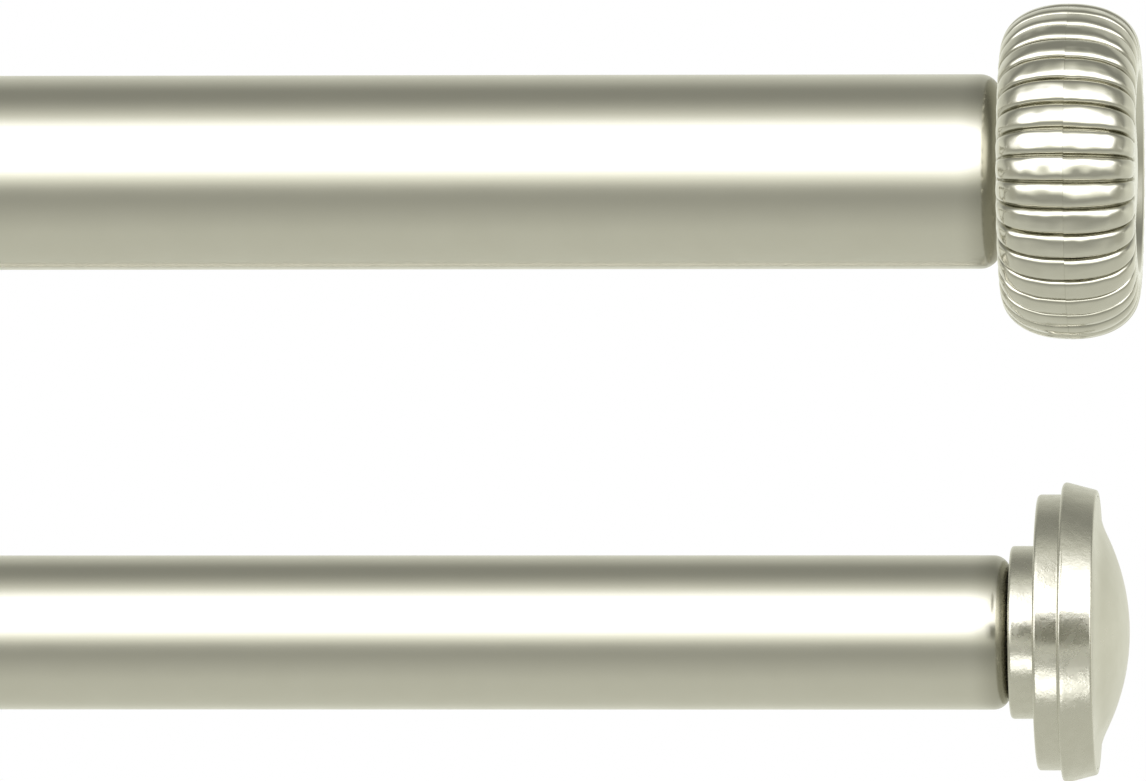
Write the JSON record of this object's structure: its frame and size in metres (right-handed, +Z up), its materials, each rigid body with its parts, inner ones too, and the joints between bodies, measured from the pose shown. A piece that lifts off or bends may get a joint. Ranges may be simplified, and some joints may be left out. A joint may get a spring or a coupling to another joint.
{
  "type": "double curtain rod with brackets",
  "caption": "Telescoping double curtain rod in satin nickel on two wall brackets, with fluted round finials on the front rod and stepped domed end caps on the rear rod.",
  "frame": {"origin": "middle of the four wall screw holes, on the wall plane at the back of both plates", "axes": "+X along the rods to the right, seen from the room; +Y into the wall, so the room is towards -Y; +Z up"},
  "size_m": [0.7472, 0.1605, 0.118],
  "materials": {
    "satin_tube": "steel tube, satin nickel plated and lacquered",
    "bright_finial": "moulded fluted shell, bright nickel plated",
    "satin_cap": "die casting, satin nickel plated, fine sandy grain",
    "satin_casting": "die casting and bar, satin nickel plated",
    "bright_screw": "turned brass, knurled, nickel plated",
    "guide_plastic": "moulded polypropylene, matt dark grey",
    "zinc_screw": "steel, clear zinc plated"
  },
  "bodies": {
    "brackets": {"wall_plate_right": "satin_casting", "wall_plate_left": "satin_casting", "arm_fixing_screws_right": "zinc_screw", "arm_fixing_screws_left": "zinc_screw", "front_arm_sleeve_right": "satin_casting", "front_arm_sleeve_left": "satin_casting", "rear_arm_right": "satin_casting", "rear_arm_left": "satin_casting", "rear_cradle_right": "satin_casting", "rear_cradle_left": "satin_casting"},
    "right_arm": {"front_arm_slide_right": "satin_casting", "front_cradle_right": "satin_casting"},
    "left_arm": {"front_arm_slide_left": "satin_casting", "front_cradle_left": "satin_casting"},
    "front_rod": {"front_outer_tube": "satin_tube", "front_guide_bush": "guide_plastic"},
    "front_inner_rod": {"front_inner_tube": "satin_tube", "front_inner_glide": "guide_plastic"},
    "right_finial": {"finial_inner_half_right": "bright_finial", "finial_outer_half_right": "bright_finial", "front_plug_right": "guide_plastic"},
    "left_finial": {"finial_inner_half_left": "bright_finial", "finial_outer_half_left": "bright_finial", "front_plug_left": "guide_plastic"},
    "rear_rod": {"rear_outer_tube": "satin_tube", "rear_guide_bush": "guide_plastic"},
    "rear_inner_rod": {"rear_inner_tube": "satin_tube", "rear_inner_glide": "guide_plastic"},
    "right_cap": {"cap_base_right": "satin_cap", "cap_face_right": "satin_cap", "rear_plug_right": "guide_plastic"},
    "left_cap": {"cap_base_left": "satin_cap", "cap_face_left": "satin_cap", "rear_plug_left": "guide_plastic"},
    "front_screw_right": {"front_thumb_screw_right": "bright_screw"},
    "rear_screw_right": {"rear_thumb_screw_right": "bright_screw"},
    "lock_screw_right": {"sleeve_lock_screw_right": "bright_screw"},
    "front_screw_left": {"front_thumb_screw_left": "bright_screw"},
    "rear_screw_left": {"rear_thumb_screw_left": "bright_screw"},
    "lock_screw_left": {"sleeve_lock_screw_left": "bright_screw"}
  },
  "joints": [
    {"name": "right_arm_projection", "type": "slide", "parent": "brackets", "child": "right_arm", "axis": [0, -1, 0], "range_m": [-0.015, 0.04]},
    {"name": "left_arm_projection", "type": "slide", "parent": "brackets", "child": "left_arm", "axis": [0, -1, 0], "range_m": [-0.015, 0.04]},
    {"name": "front_rod_lift", "type": "slide", "parent": "right_arm", "child": "front_rod", "axis": [0, 0, 1], "range_m": [0, 0.05]},
    {"name": "front_rod_extend", "type": "slide", "parent": "front_rod", "child": "front_inner_rod", "axis": [-1, 0, 0], "range_m": [0, 0.508]},
    {"name": "right_finial_pull", "type": "slide", "parent": "front_rod", "child": "right_finial", "axis": [1, 0, 0], "range_m": [0, 0.03]},
    {"name": "left_finial_pull", "type": "slide", "parent": "front_inner_rod", "child": "left_finial", "axis": [-1, 0, 0], "range_m": [0, 0.03]},
    {"name": "rear_rod_lift", "type": "slide", "parent": "brackets", "child": "rear_rod", "axis": [0, 0, 1], "range_m": [0, 0.03]},
    {"name": "rear_rod_extend", "type": "slide", "parent": "rear_rod", "child": "rear_inner_rod", "axis": [-1, 0, 0], "range_m": [0, 0.508]},
    {"name": "right_cap_pull", "type": "slide", "parent": "rear_rod", "child": "right_cap", "axis": [1, 0, 0], "range_m": [0, 0.03]},
    {"name": "left_cap_pull", "type": "slide", "parent": "rear_inner_rod", "child": "left_cap", "axis": [-1, 0, 0], "range_m": [0, 0.03]},
    {"name": "front_screw_right_back_off", "type": "slide", "parent": "right_arm", "child": "front_screw_right", "axis": [0, -1, 0], "range_m": [0, 0.005]},
    {"name": "rear_screw_right_back_off", "type": "slide", "parent": "brackets", "child": "rear_screw_right", "axis": [0, -1, 0], "range_m": [0, 0.005]},
    {"name": "lock_screw_right_back_off", "type": "slide", "parent": "brackets", "child": "lock_screw_right", "axis": [0, 0, -1], "range_m": [0, 0.004]},
    {"name": "front_screw_left_back_off", "type": "slide", "parent": "left_arm", "child": "front_screw_left", "axis": [0, -1, 0], "range_m": [0, 0.005]},
    {"name": "rear_screw_left_back_off", "type": "slide", "parent": "brackets", "child": "rear_screw_left", "axis": [0, -1, 0], "range_m": [0, 0.005]},
    {"name": "lock_screw_left_back_off", "type": "slide", "parent": "brackets", "child": "lock_screw_left", "axis": [0, 0, -1], "range_m": [0, 0.004]}
  ],
  "couplings": [
    {"joint": "left_arm_projection", "follows": "right_arm_projection", "ratio": 1}
  ]
}
